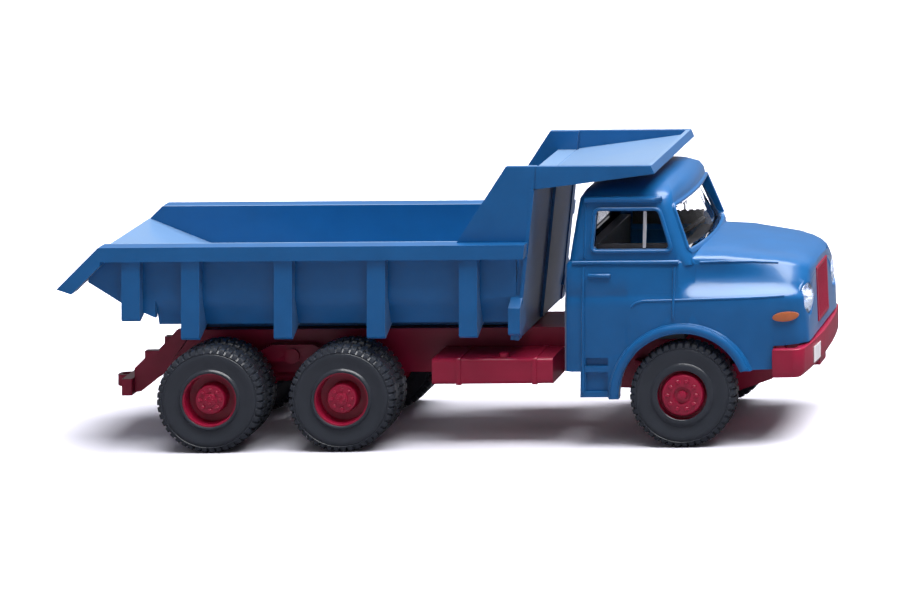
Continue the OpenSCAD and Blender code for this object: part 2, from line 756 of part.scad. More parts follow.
// Lens with a shallow dome
dome_h = 0.55;
module headlamps() color(clear_grey) {
    dome = [for (a = [0 : 15 : 90]) [lamp_r * cos(a), dome_h * sin(a)]];
    at_lamps() rotate_extrude() polygon(concat([[0, -lamp_depth], [lamp_r, -lamp_depth]], dome));
}

// Indicators: oval lenses that wrap the corners of the wings
indicator_x = 41.2;
indicator_z = 15.45;
indicator_half = [1.45, 0.55];
indicator_t = 0.26;

module indicators() color(amber) {
    difference() {
        intersection() {
            cab_body(-indicator_t - seat);
            translate([indicator_x, big, indicator_z]) rotate([90, 0, 0]) linear_extrude(2 * big)
                scale(indicator_half) circle(r = 1, $fn = 24);
        }
        cab_body(-seat);
    }
}

// Bar between the main and the vent part of a side pane
divider_x = 24.2;
divider_w = 0.4;
divider_t = 0.12;
// Bottom and top of the glazing's inner band, and its wall
glazing_z = [22.9, 29];
glazing_t = 0.5;

module cab_glazing() color(clear_grey) {
    difference() {
        union() {
            intersection() {
                upper_cab(cab_wall + seat);
                block(0, big, -big, big, glazing_z[0], glazing_z[1]);
            }
            intersection() {
                upper_cab(pane_depth);
                window_cuts(-seat);
            }
            intersection() {
                upper_cab(pane_depth - divider_t);
                window_cuts(-seat);
                block(divider_x, divider_x + divider_w, -big, big, roof_table[0][RF_Z], canopy_top);
            }
        }
        upper_cab(cab_wall + glazing_t);
    }
}

// Inside of the cab: floor, seat, back rest and dashboard, as ends along X, half width, bottom and top
inside_floor = 15.5;
inside_table = [
    [16.6, 29.2, 11.8, frame_top + seat, inside_floor],
    [17, 21.4, 11, inside_floor - 0.1, 18.6],
    [17, 18.3, 10.4, 18.5, 23.6],
    [26.8, 28.9, 10.8, inside_floor - 0.1, 22.2]
];
IN_X0 = 0;
IN_X1 = 1;
IN_HALF = 2;
IN_FOOT = 3;
IN_TOP = 4;

module cab_interior() color(inside_grey) {
    for (t = inside_table) block(t[IN_X0], t[IN_X1], -t[IN_HALF], t[IN_HALF], t[IN_FOOT], t[IN_TOP]);
}

wheel_place = [26.2, 6, 22.6];
wheel_tilt = 35;
wheel_r = 1.9;
wheel_rim = 0.22;
spoke = [2 * wheel_r, 0.35, 0.3];

module steering_wheel() color(inside_grey) translate(wheel_place) rotate([0, -wheel_tilt, 0]) {
    rotate_extrude() translate([wheel_r, 0]) circle(r = wheel_rim);
    for (turn = [0, 90]) rotate([0, 0, turn]) cube(spoke, center = true);
}

// Tipping bed

hinge_bed_in = 2.3;
hinge_bed_out = rail_in - 0.1;

// Front face of the head board at a height
head_base = [9.94, 16.9];
head_lean = 0.102;
function head_x(z) = head_base[0] + (z - head_base[1]) * head_lean;

ramp_foot_x = -23.6;
ramp_top_x = -41;
ramp_top_z = 23.15;
tail_x = -44.3;
tail_z = 19.7;

// Bed section: where the chamfered foot of a wall starts and ends, and the inside of the walls
floor_half_w = wall_half_w - 1.6;
crease_z = bed_bottom + 3.3;
inner = wall_half_w - wall_t;
head_foot = bed_bottom - 1.9;
head_top = canopy_top - 2.8;
shelf_x = 9.1;
shelf_t = 0.3;
board_rib = 0.7;
wing_foot_x = 2.1;
wing_top_x = 8.1;

// Lower rear edge of the side walls, over the ramp
wall_tail = [[floor_rear_x, 15.9], [-37.2, 17.7], [ramp_top_x - 0.1, 20.2], [ramp_top_x + 0.1, 21.8]];

// A leaning upright on the head board, from the plate's back to a distance in front of it
module head_upright(z0, z1, back, front, y0, y1) {
    side_prism([[head_x(z0) - back, z0], [head_x(z0) + front, z0],
        [head_x(z1) + front, z1], [head_x(z1) - back, z1]], y0, y1);
}

// Side wall with its chamfered foot, its rear part over the ramp, and the wing up to the head board
module bed_wall() {
    top = rim_top - 0.2;
    cross_prism([[0, bed_bottom], [floor_half_w, bed_bottom], [wall_half_w, crease_z], [wall_half_w, top],
        [inner, top], [inner, crease_z + 0.2], [floor_half_w - 0.4, floor_top], [0, floor_top]],
        floor_rear_x, head_x(bed_bottom) - 0.4);
    side_prism(concat([[floor_rear_x, top]], wall_tail, [[ramp_top_x + 1.5, top]]), inner, wall_half_w);
    side_prism([[wing_foot_x, rim_top - 0.3], [wing_top_x, canopy_top], [head_x(canopy_top), canopy_top],
        [head_x(rim_top - 0.3), rim_top - 0.3]], inner, wall_half_w + 0.05);
    head_upright(head_foot, head_top, 0.3, 0.15, wall_half_w - 1.5, wall_half_w + 0.1);
}

// Rim and its slanted tail
module bed_rim() {
    under = rim_top - rim_h;
    side_prism([[head_x(rim_top), rim_top], [ramp_top_x + 1.55, rim_top], [tail_x, tail_z],
        [tail_x + 1.75, tail_z - 0.6], [ramp_top_x + 1.8, under - 0.45], [ramp_top_x + 1.8, under],
        [head_x(under), under]], inner, rim_half_w);
}

// A rib that wraps under the foot of the wall
module bed_rib(rib) {
    top = rim_top - rim_h + 0.2;
    foot = rib[RIB_FOOT];
    root = inner + 0.3;
    cross_prism([[root, top], [rib_half_w, top], [rib_half_w, foot + 0.3], [rib_half_w - 0.4, foot],
        [floor_half_w - 0.5, foot + 1.25], [root, foot + 3.4]], rib[RIB_X], rib[RIB_X] + rib_w);
}

// Short foot at the head board: ends along X, bottom, and where its face starts and ends
foot_x = [8.7, 10.1];
foot_z = [13.7, 14, 17, 18.2];

module bed_foot() {
    cross_prism([[floor_half_w - 0.5, bed_bottom], [rib_half_w - 0.4, foot_z[0]], [rib_half_w, foot_z[1]],
        [rib_half_w, foot_z[2]], [wall_half_w - 0.2, foot_z[3]]], foot_x[0], foot_x[1]);
}

// Ramp and tail lip, trimmed to the inside of the walls
module bed_ramp() {
    intersection() {
        side_prism([[ramp_foot_x, floor_top], [ramp_top_x, ramp_top_z], [tail_x, tail_z],
            [tail_x + 1.4, tail_z - 0.5], [ramp_top_x + 0.5, ramp_top_z - 1.55],
            [floor_rear_x, floor_top + 2.4], [floor_rear_x, bed_bottom], [ramp_foot_x, bed_bottom]],
            -inner - 0.1, inner + 0.1);
        cross_prism([[-floor_half_w, bed_bottom], [floor_half_w, bed_bottom], [wall_half_w, crease_z],
            [wall_half_w, rim_top], [-wall_half_w, rim_top], [-wall_half_w, crease_z]], 2 * tail_x, 0);
    }
}

module bed_tub() color(body_blue) {
    both_sides() {
        bed_wall();
        bed_rim();
        for (rib = rib_table) bed_rib(rib);
        bed_foot();
    }
    bed_ramp();
    // Head board with its middle rib, and the shelf from its top back over the wings
    head_upright(head_foot, head_top, wall_t, 0, -wall_half_w + 0.2, wall_half_w - 0.2);
    head_upright(head_foot + 0.3, head_top - 0.8, 0.3, 0.35, -board_rib, board_rib);
    block(shelf_x, head_x(head_top), -inner - 0.1, inner + 0.1, head_top - shelf_t, head_top + 0.5);
}

canopy_rear_x = head_x(canopy_top) + seat;
canopy_front_x = 25.7;

canopy_knee = [17.5, 0.7];

module bed_canopy() color(body_blue) {
    fascia_t = 0.75;
    fascia_h = 2.7;
    lip_h = 0.94;
    lip_t = 0.7;
    lip_lean = 0.4;
    roof_t = 0.5;
    half_w = wall_half_w + 0.1;
    rear_z = canopy_top - fascia_h;
    lip_z = canopy_top - lip_h;
    lip_x = canopy_front_x - lip_lean;
    both_sides() side_prism([[canopy_rear_x, rear_z], [canopy_knee[0], rear_z + canopy_knee[1]],
        [canopy_front_x, lip_z], [lip_x, canopy_top], [canopy_rear_x, canopy_top]],
        half_w - fascia_t, half_w);
    side_prism([[canopy_rear_x, rear_z], [lip_x, lip_z], [lip_x, lip_z + roof_t],
        [canopy_rear_x, rear_z + roof_t]], -half_w + lip_lean, half_w - lip_lean);
    side_prism([[canopy_front_x - lip_t, lip_z], [canopy_front_x, lip_z], [lip_x, canopy_top],
        [lip_x - 0.8 * lip_t, canopy_top]], -half_w, half_w);
}

runner_front_x = 8.5;
runner_clear = 0.05;

module bed_runners() color(body_blue) difference() {
    top = bed_bottom - seat;
    both_sides() {
        block(hinge_x + 1, runner_front_x, hinge_bed_in, hinge_bed_out, frame_top + runner_clear, top);
        block(hinge_x - hinge_ear_r, hinge_x + hinge_ear_r, hinge_bed_in, hinge_bed_out, hinge_z, top);
        cross_bar(hinge_x, hinge_z, hinge_ear_r, hinge_bed_in, hinge_bed_out);
    }
    cross_bar(hinge_x, hinge_z, hinge_pin_r + pin_clear, -big, big);
}

module tip_hinge_pin() color(steel) {
    cross_bar(hinge_x, hinge_z, hinge_pin_r, -frame_half_w, frame_half_w);
}

chassis_frame();
rear_crossbeam();
rear_bogie();
front_suspension();
fuel_tank();
battery_box();
front_bumper();
front_plate();
grille();
headlamps();
indicators();
cab_shell();
cab_glazing();
cab_interior();
steering_wheel();
tip_hinge_pin();
bed_tub();
bed_canopy();
bed_runners();
front_axle_pin();
front_rim_right();
front_rim_left();
front_tyre_right();
front_tyre_left();
middle_axle_pin();
middle_rim_right();
middle_rim_left();
middle_tyres_right();
middle_tyres_left();
rear_axle_pin();
rear_rim_right();
rear_rim_left();
rear_tyres_right();
rear_tyres_left();
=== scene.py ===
import json
import math

import bmesh
import bpy
from mathutils import Matrix, Vector
from mathutils.bvhtree import BVHTree

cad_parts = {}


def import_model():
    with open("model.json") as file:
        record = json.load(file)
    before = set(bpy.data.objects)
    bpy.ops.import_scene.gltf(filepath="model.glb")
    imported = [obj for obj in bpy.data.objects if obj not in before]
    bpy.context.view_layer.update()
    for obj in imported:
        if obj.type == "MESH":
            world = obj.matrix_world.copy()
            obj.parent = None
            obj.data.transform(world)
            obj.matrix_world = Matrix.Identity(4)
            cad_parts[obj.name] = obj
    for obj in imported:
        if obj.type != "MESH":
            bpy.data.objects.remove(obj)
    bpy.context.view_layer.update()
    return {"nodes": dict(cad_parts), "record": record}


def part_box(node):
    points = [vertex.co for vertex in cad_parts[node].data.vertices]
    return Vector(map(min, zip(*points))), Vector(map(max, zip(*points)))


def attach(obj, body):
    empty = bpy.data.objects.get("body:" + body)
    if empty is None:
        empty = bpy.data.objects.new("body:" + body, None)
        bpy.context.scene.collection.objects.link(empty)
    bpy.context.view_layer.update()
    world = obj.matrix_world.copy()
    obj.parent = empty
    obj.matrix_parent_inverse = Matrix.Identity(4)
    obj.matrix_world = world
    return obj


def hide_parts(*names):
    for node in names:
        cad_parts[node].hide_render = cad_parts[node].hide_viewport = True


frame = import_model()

NODES = frame["nodes"]
SCENE = bpy.context.scene
# Shapes are written in millimetres, while the frame, the lights and the camera are in metres
MM = 0.001
SIDES = (-1, 1)


# Shader helpers

def new_material(name):
    """A material, its node tree and its main shader."""
    material = bpy.data.materials.new(name)
    material.use_nodes = True
    return material, material.node_tree, material.node_tree.nodes["Principled BSDF"]


def set_inputs(node, values):
    for socket, value in values.items():
        node.inputs[socket].default_value = value


def feed(tree, source, socket):
    """Sets a socket to a number, or links another node's output to it."""
    if isinstance(source, (int, float)):
        socket.default_value = source
    else:
        tree.links.new(source, socket)


def maths(tree, operation, *sources):
    node = tree.nodes.new("ShaderNodeMath")
    node.operation = operation
    for source, socket in zip(sources, node.inputs):
        feed(tree, source, socket)
    return node.outputs["Value"]


def between(tree, source, start, end, low=0.0, high=1.0):
    """A value that goes from low to high while its source goes from start to end."""
    node = tree.nodes.new("ShaderNodeMapRange")
    inputs = (("Value", source), ("From Min", start), ("From Max", end), ("To Min", low), ("To Max", high))
    for socket, value in inputs:
        feed(tree, value, node.inputs[socket])
    return node.outputs["Result"]


def scaled(tree, vector, share):
    """A vector or a colour, fixed or linked, times a number."""
    node = tree.nodes.new("ShaderNodeVectorMath")
    node.operation = "SCALE"
    if isinstance(vector, tuple):
        node.inputs[0].default_value = vector
    else:
        tree.links.new(vector, node.inputs[0])
    tree.links.new(share, node.inputs["Scale"])
    return node.outputs["Vector"]


def coordinate(tree, kind, axis):
    """One number of a kind of texture coordinates."""
    coords = tree.nodes.new("ShaderNodeTexCoord")
    parts = tree.nodes.new("ShaderNodeSeparateXYZ")
    tree.links.new(coords.outputs[kind], parts.inputs["Vector"])
    return parts.outputs[axis]


def noise(tree, scale, detail=4.0):
    """Noise in the object's own coordinates, so that it rides with the piece."""
    coords = tree.nodes.new("ShaderNodeTexCoord")
    texture = tree.nodes.new("ShaderNodeTexNoise")
    set_inputs(texture, {"Scale": scale, "Detail": detail, "Roughness": 0.55})
    tree.links.new(coords.outputs["Object"], texture.inputs["Vector"])
    return texture.outputs["Fac"]


def two_tone(tree, share, low, high):
    """A colour between two, over the middle of a noise."""
    node = tree.nodes.new("ShaderNodeValToRGB")
    for element, position, colour in zip(node.color_ramp.elements, (0.3, 0.7), (low, high)):
        element.position = position
        element.color = (*colour, 1)
    tree.links.new(share, node.inputs["Fac"])
    return node.outputs["Color"]


def shade(colour, share):
    return tuple(min(1, c * share) for c in colour)


# Materials

MOTTLE_SCALE, GRAIN_SCALE, CLEAR_SCALE, METAL_SCALE = 260, 2200, 400, 900
MOULD_GRAIN = 0.01 * MM
# Painted light: upward faces inside the bed are paled towards this colour, as if brightly lit from above
PAINTED_TOP_LIGHT_COLOUR = (0.42, 0.56, 0.72, 1)
# Half the bed's width inside its walls, where upward faces get painted light
BED_INSIDE = 12.1 * MM
# The rear pane is smoked: it lies behind this place along the truck
SMOKED_BEHIND = 17.2 * MM
SMOKED_FADE = 0.5 * MM


def with_painted_top_light(tree, colour, most):
    """A colour that pales on upward faces inside the bed: painted light where the lamp above falls."""
    up = between(tree, coordinate(tree, "Normal", "Z"), 0.75, 1.0, 0.0, most)
    from_middle = maths(tree, "ABSOLUTE", coordinate(tree, "Object", "Y"))
    inside = between(tree, from_middle, BED_INSIDE, BED_INSIDE * 0.97)
    mix = tree.nodes.new("ShaderNodeMix")
    mix.data_type = "RGBA"
    factor, base, painted_top_light = mix.inputs[0], mix.inputs[6], mix.inputs[7]
    tree.links.new(maths(tree, "MULTIPLY", up, inside), factor)
    tree.links.new(colour, base)
    painted_top_light.default_value = PAINTED_TOP_LIGHT_COLOUR
    return mix.outputs[2]


def plastic(name, colour, roughness, coat=0.0, bloom=0.0, painted_top_light=0.0):
    """Moulded plastic: a faint mottle, uneven polish and a fine mould grain, and where asked painted light on
    upward faces inside the bed.
    """
    material, tree, shader = new_material(name)
    cloud = noise(tree, MOTTLE_SCALE)
    base = two_tone(tree, cloud, shade(colour, 0.92), shade(colour, 1.08))
    # Painted light: upward faces inside the bed are paled, as if brightly lit from above
    if painted_top_light:
        base = with_painted_top_light(tree, base, painted_top_light)
    tree.links.new(base, shader.inputs["Base Color"])
    polish = between(tree, cloud, 0, 1, roughness * 0.85, roughness * 1.15)
    tree.links.new(polish, shader.inputs["Roughness"])
    bump = tree.nodes.new("ShaderNodeBump")
    set_inputs(bump, {"Strength": 0.25, "Distance": MOULD_GRAIN})
    tree.links.new(noise(tree, GRAIN_SCALE, detail=2), bump.inputs["Height"])
    tree.links.new(bump.outputs["Normal"], shader.inputs["Normal"])
    set_inputs(shader, {"IOR": 1.45, "Coat Weight": coat, "Coat Roughness": 0.14,
        "Sheen Weight": bloom, "Sheen Roughness": 0.35})
    return material


def clear_plastic(name, tint, bend, smoked=False):
    """Clear moulded plastic with a faint unevenness, smoked at the back of the cab."""
    material, tree, shader = new_material(name)
    cloud = noise(tree, CLEAR_SCALE)
    colour = two_tone(tree, cloud, shade(tint, 0.97), tint)
    if smoked:
        along = coordinate(tree, "Object", "X")
        clear = between(tree, along, SMOKED_BEHIND - SMOKED_FADE, SMOKED_BEHIND, 0.05, 1.0)
        colour = scaled(tree, colour, clear)
    tree.links.new(colour, shader.inputs["Base Color"])
    tree.links.new(between(tree, cloud, 0, 1, 0.01, 0.04), shader.inputs["Roughness"])
    set_inputs(shader, {"IOR": bend, "Transmission Weight": 1.0})
    return material


def metal(name, colour, roughness):
    """Bare or plated metal with an uneven polish."""
    material, tree, shader = new_material(name)
    cloud = noise(tree, METAL_SCALE)
    tree.links.new(two_tone(tree, cloud, shade(colour, 0.9), colour), shader.inputs["Base Color"])
    polish = between(tree, cloud, 0, 1, roughness * 0.8, roughness * 1.2)
    tree.links.new(polish, shader.inputs["Roughness"])
    shader.inputs["Metallic"].default_value = 1.0
    return material


BLUE = (0.001, 0.092, 0.275)
LOOKS = {
    "blue_plastic": plastic("blue_plastic_look", BLUE, 0.36, coat=0.35, bloom=0.1),
    # The bed's plastic gets painted light on its upward faces
    "bed_plastic": plastic("bed_plastic_look", BLUE, 0.36, coat=0.35, bloom=0.1, painted_top_light=0.38),
    "red_plastic": plastic("red_plastic_look", (0.3, 0.006, 0.036), 0.36, coat=0.2),
    "tyre_plastic": plastic("tyre_plastic_look", (0.03, 0.035, 0.046), 0.36, coat=0.2),
    "grey_plastic": plastic("grey_plastic_look", (0.02, 0.02, 0.024), 0.5),
    "clear_plastic": clear_plastic("clear_plastic_look", (0.97, 0.98, 0.99), 1.03, smoked=True),
    "white_plastic": plastic("white_plastic_look", (0.7, 0.68, 0.7), 0.4),
    "amber_plastic": plastic("amber_plastic_look", (0.36, 0.1, 0.035), 0.35, coat=0.3),
    "pin_steel": metal("pin_steel_look", (0.55, 0.56, 0.58), 0.35),
    "lamp_lens": clear_plastic("lamp_lens_look", (0.95, 0.97, 1.0), 1.35),
    "reflector": metal("reflector_look", (0.6, 0.68, 0.8), 0.25),
    "bar": plastic("bar_look", (0.33, 0.33, 0.36), 0.4),
}


# Dressing of the solids

EDGE_ROUND = {"blue_plastic": 0.12, "red_plastic": 0.1, "tyre_plastic": 0.12, "grey_plastic": 0.15,
    "amber_plastic": 0.12, "white_plastic": 0.04}
# Pieces whose edges are sharper than the rest of their plastic, and pieces with a look of their own
FINE_EDGE = {"bed_canopy": 0.05, "cab_shell": 0.08}
OWN_LOOK = {"headlamps": "lamp_lens", "bed_tub": "bed_plastic", "bed_canopy": "bed_plastic"}


def soften(obj, width):
    """Joins the solid's faces, rounds its edges and evens out its shading."""
    for face in obj.data.polygons:
        face.use_smooth = True
    weld = obj.modifiers.new("weld", "WELD")
    weld.merge_threshold = 2e-7
    bevel = obj.modifiers.new("round", "BEVEL")
    bevel.width = width * MM
    bevel.segments = 2
    bevel.limit_method = "ANGLE"
    bevel.angle_limit = math.radians(35)
    bevel.use_clamp_overlap = True
    even = obj.modifiers.new("even", "WEIGHTED_NORMAL")
    even.keep_sharp = False


for part in frame["record"]["subparts"]:
    node = NODES[part["node"]]
    slot = part["material_slot"]
    node.data.materials.clear()
    node.data.materials.append(LOOKS[OWN_LOOK.get(part["node"], slot)])
    if slot in EDGE_ROUND:
        soften(node, FINE_EDGE.get(part["node"], EDGE_ROUND[slot]))


# Helpers for new pieces

def finish_piece(name, mesh, look, body, sharp=30):
    """Makes a piece of a mesh in millimetres, smooth but for its sharp edges, and lets it ride a body."""
    data = bpy.data.meshes.new(name)
    bmesh.ops.scale(mesh, vec=(MM, MM, MM), verts=mesh.verts)
    bmesh.ops.recalc_face_normals(mesh, faces=mesh.faces)
    for face in mesh.faces:
        face.smooth = True
    mesh.to_mesh(data)
    mesh.free()
    data.set_sharp_from_angle(angle=math.radians(sharp))
    data.materials.append(LOOKS[look])
    obj = bpy.data.objects.new(name, data)
    SCENE.collection.objects.link(obj)
    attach(obj, body)
    return obj


def turns(count):
    """Angles evenly round a circle."""
    return [2 * math.pi * k / count for k in range(count)]


def skin(mesh, rings, closed=True):
    """Faces between rings of points, each ring closed on itself."""
    rows = [[mesh.verts.new(p) for p in ring] for ring in rings]
    n = len(rows[0])
    pairs = zip(rows, rows[1:] + rows[:1]) if closed else zip(rows, rows[1:])
    for a, b in pairs:
        for k in range(n):
            mesh.faces.new((a[k], a[(k + 1) % n], b[(k + 1) % n], b[k]))
    return rows


def rod(mesh, rings):
    """A skin over rings whose first and last one get a face."""
    rows = skin(mesh, rings, closed=False)
    mesh.faces.new(rows[0])
    mesh.faces.new(rows[-1])


def solid_surface(node):
    """A CAD node's surface in millimetres, to set pieces on."""
    mesh = NODES[node].data
    faces = [tuple(p.vertices) for p in mesh.polygons]
    return BVHTree.FromPolygons([v.co / MM for v in mesh.vertices], faces)


def spot(tree, start, direction):
    """Where a line first meets a surface, and the surface's normal there."""
    place, normal, _, _ = tree.ray_cast(Vector(start), Vector(direction))
    return place, (normal if normal.dot(Vector(direction)) < 0 else -normal)


# Tyres: outlines as radius and depth from the outer face. A bead is plain, or laps over the lip of its rim;
# then come the side wall, and the tread through a lug and through a groove

PLAIN_BEAD = ((3.47, 0.4), (3.5, 0.2), (3.6, 0.1), (3.75, 0.14))
FRONT_BEAD = ((3.47, 0.4), (3.47, 0.21), (2.98, 0.21), (2.93, 0.12), (3.0, 0.04), (3.2, 0.0), (3.5, 0.02),
    (3.68, 0.1), (3.78, 0.2))
TWIN_BEAD = ((3.47, 0.4), (3.47, 0.21), (3.22, 0.21), (3.17, 0.12), (3.22, 0.04), (3.34, 0.0), (3.46, 0.02),
    (3.56, 0.1), (3.64, 0.2))
SIDE_WALL = ((4.0, 0.23), (4.5, 0.14), (4.95, 0.05), (5.25, 0.03), (5.42, 0.07), (5.48, 0.14), (5.56, 0.14),
    (5.62, 0.07))
LUG_TREAD = ((5.95, 0.14), (6.15, 0.28), (6.26, 0.5), (6.3, 0.75), (6.3, 1.15), (6.27, 1.25), (6.27, 1.6))
GROOVE_TREAD = ((5.84, 0.28), (5.99, 0.44), (6.07, 0.62), (6.1, 0.78), (6.1, 1.15), (6.27, 1.25), (6.27, 1.6))
LUGS = 44
# Start and end of a lug, then of the groove after it, as shares of the pitch
LUG_STEPS = ((0.0, LUG_TREAD), (0.6, LUG_TREAD), (0.69, GROOVE_TREAD), (0.91, GROOVE_TREAD))
TWIN_GAP = 0.4


def wheel_place(node):
    """Corners of a wheel's node in mm, its middle along X and Z, and the way its outer face looks."""
    low, high = (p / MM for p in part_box(node))
    return low, high, (low.x + high.x) / 2, (low.z + high.z) / 2, 1 if low.y > 0 else -1


def tyre(mesh, x, y, z, outward, width, front):
    """Adds a tyre whose outer face lies at y and looks along outward, with the given bead there."""
    rings = []
    for i in range(LUGS):
        for share, tread in LUG_STEPS:
            a = 2 * math.pi * (i + share) / LUGS
            back = PLAIN_BEAD + SIDE_WALL + tread[:-1]
            line = list(front + SIDE_WALL + tread) + [(r, width - d) for r, d in reversed(back)]
            rings.append([(x + r * math.cos(a), y - outward * d, z + r * math.sin(a)) for r, d in line])
    skin(mesh, rings)


def tyre_piece(node, body, twin):
    """A treaded tyre, or two side by side, in the place of a plain tyre node."""
    low, high, x, z, outward = wheel_place(node)
    face = high.y if outward > 0 else low.y
    width = high.y - low.y
    mesh = bmesh.new()
    if twin:
        width = (width - TWIN_GAP) / 2
        tyre(mesh, x, face, z, outward, width, TWIN_BEAD)
        tyre(mesh, x, face - outward * (width + TWIN_GAP), z, outward, width, PLAIN_BEAD)
    else:
        tyre(mesh, x, face, z, outward, width, FRONT_BEAD)
    piece = finish_piece(node + "_tread", mesh, "tyre_plastic", body, sharp=24)
    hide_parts(node)


# Hub nuts: rows of ring radius, count, nut radius and nut height

STEER_NUTS = ((1.7, 10, 0.27, 0.22),)
DRIVE_NUTS = ((1.2, 8, 0.24, 0.22), (0.4, 4, 0.15, 0.16))
NUT_SIDES = 6
NUT_SUNK = 0.08
CLEAR_OF_WHEELS = 30


def nut(mesh, place, outward, radius, height, turn):
    """A nut with a chamfered top, its foot just inside the hub."""
    steps = ((radius, -NUT_SUNK), (radius, height * 0.7), (radius * 0.75, height))
    rod(mesh, [[(place.x + r * math.cos(turn + a), place.y + outward * h, place.z + r * math.sin(turn + a))
        for a in turns(NUT_SIDES)] for r, h in steps])


def hub_piece(node, body, rows):
    """Rings of nuts on the face of a rim."""
    _, _, x, z, outward = wheel_place(node)
    tree = solid_surface(node)
    mesh = bmesh.new()
    for ring, count, radius, height in rows:
        for a in turns(count):
            start = (x + ring * math.cos(a), CLEAR_OF_WHEELS * outward, z + ring * math.sin(a))
            place, _ = spot(tree, start, (0, -outward, 0))
            nut(mesh, place, outward, radius, height, a)
    finish_piece(node + "_nuts", mesh, "red_plastic", body)


for side in ("right", "left"):
    tyre_piece(f"front_tyre_{side}", "front_wheelset", False)
    hub_piece(f"front_rim_{side}", "front_wheelset", STEER_NUTS)
    for axle in ("middle", "rear"):
        tyre_piece(f"{axle}_tyres_{side}", f"{axle}_wheelset", True)
        hub_piece(f"{axle}_rim_{side}", f"{axle}_wheelset", DRIVE_NUTS)


# Headlamp reflectors

LAMP_PLACE = Vector((43, 8.5, 16.8))
LAMP_TURN = math.radians(14)
LAMP_R = 1.9
BOWL_DEPTH = 0.8
BOWL_R = LAMP_R - 0.08
BOWL_RINGS = 8
FLUTES = 14
FLUTE_DEPTH = 0.06
BULB_R = 0.36
BULB_BACK = 0.55


def reflectors():
    """Fluted bowls with a bulb inside the headlamp lenses."""
    mesh = bmesh.new()
    for side in SIDES:
        place = Matrix.Translation((LAMP_PLACE.x, side * LAMP_PLACE.y, LAMP_PLACE.z))
        place = place @ Matrix.Rotation(side * LAMP_TURN, 4, "Z")
        rings = []
        for i in range(BOWL_RINGS + 1):
            share = i / BOWL_RINGS
            r = BOWL_R * share + 0.02
            row = []
            for k, a in enumerate(turns(FLUTES * 4)):
                flute = FLUTE_DEPTH * share if k % 4 in (1, 2) else 0
                depth = BOWL_DEPTH * share ** 2 - BOWL_DEPTH - flute
                row.append(place @ Vector((depth, r * math.cos(a), r * math.sin(a))))
            rings.append(row)
        skin(mesh, rings, closed=False)
        bulb = place @ Matrix.Translation((-BULB_BACK, 0, 0))
        bmesh.ops.create_icosphere(mesh, subdivisions=2, radius=BULB_R, matrix=bulb)
    finish_piece("headlamp_reflectors", mesh, "reflector", "chassis", sharp=20)


# Bars across the side panes

BAR_X, BAR_Z = 24.4, 25.85
BAR_HALF = (0.2, 2.15)
BAR_RISE, BAR_SUNK = 0.06, 0.03
# Power of the outline: an oval at 2, nearly a box here
BAR_SQUARE = 12
CLEAR_OF_CAB = 32


def window_bars():
    """Pale bars across the side panes, as low lenses that follow the pane."""
    tree = solid_surface("cab_glazing")
    mesh = bmesh.new()
    steps, around = 6, 36
    for side in SIDES:
        into = (0, -side, 0)
        rings = []
        for share in [i / steps for i in range(1, steps + 1)]:
            ring = []
            for a in turns(around):
                c, s = math.cos(a), math.sin(a)
                reach = share * (abs(c) ** BAR_SQUARE + abs(s) ** BAR_SQUARE) ** (-1 / BAR_SQUARE)
                x, z = BAR_X + BAR_HALF[0] * reach * c, BAR_Z + BAR_HALF[1] * reach * s
                place, normal = spot(tree, (x, side * CLEAR_OF_CAB, z), into)
                ring.append(place + normal * (BAR_RISE * (1 - share ** 5) - BAR_SUNK * share ** 8))
            rings.append(ring)
        rows = skin(mesh, rings, closed=False)
        place, normal = spot(tree, (BAR_X, side * CLEAR_OF_CAB, BAR_Z), into)
        tip = mesh.verts.new(place + normal * BAR_RISE)
        for k in range(around):
            mesh.faces.new((tip, rows[0][k], rows[0][(k + 1) % around]))
    finish_piece("window_bars", mesh, "bar", "chassis")


# Beads and lines on the cab: along X and Z on its sides, along Y and Z on its front

SIDE_PANE = ((18.4, 23.6), (27.4, 23.6), (25.9, 28.1), (18.7, 28.1))
PANE_GROW, PANE_CORNER = 0.24, 0.7
SCREEN_LINE = ((-11.25, 23.55), (-10.5, 28.2), (-10.2, 28.5), (10.2, 28.5), (10.5, 28.2), (11.25, 23.55))
DRIP_LINE = ((17.3, 29.45), (26.3, 29.45))
DOOR_LINES = (((17.36, 6.8), (17.36, 21.7)), ((17.36, 22.6), (17.36, 28.9)), ((28.1, 15.6), (28.1, 21.5)))
BONNET_LINE = ((30.8, 21.75), (33.5, 21.75), (37.0, 21.6), (39.8, 21.3))
WING_LINE = ((23.1, 16.9), (23.5, 17.35), (24.4, 17.62), (31.0, 17.75), (41.0, 17.9))
ARCH_X, ARCH_Z, ARCH_R = 29.1, 6.3, 8.03
ARCH_ANGLES = range(22, 182, 3)
# Width and rise of each bead
SCREEN_BEAD, PANE_BEAD, ARCH_BEAD = (0.4, 0.18), (0.42, 0.2), (1.0, 0.36)
BONNET_BEAD, WING_BEAD, DRIP_BEAD, DOOR_BEAD = (0.3, 0.16), (0.3, 0.14), (0.75, 0.4), (0.3, 0.14)
BEAD_SIDES = 12
FROM_AFAR = 40


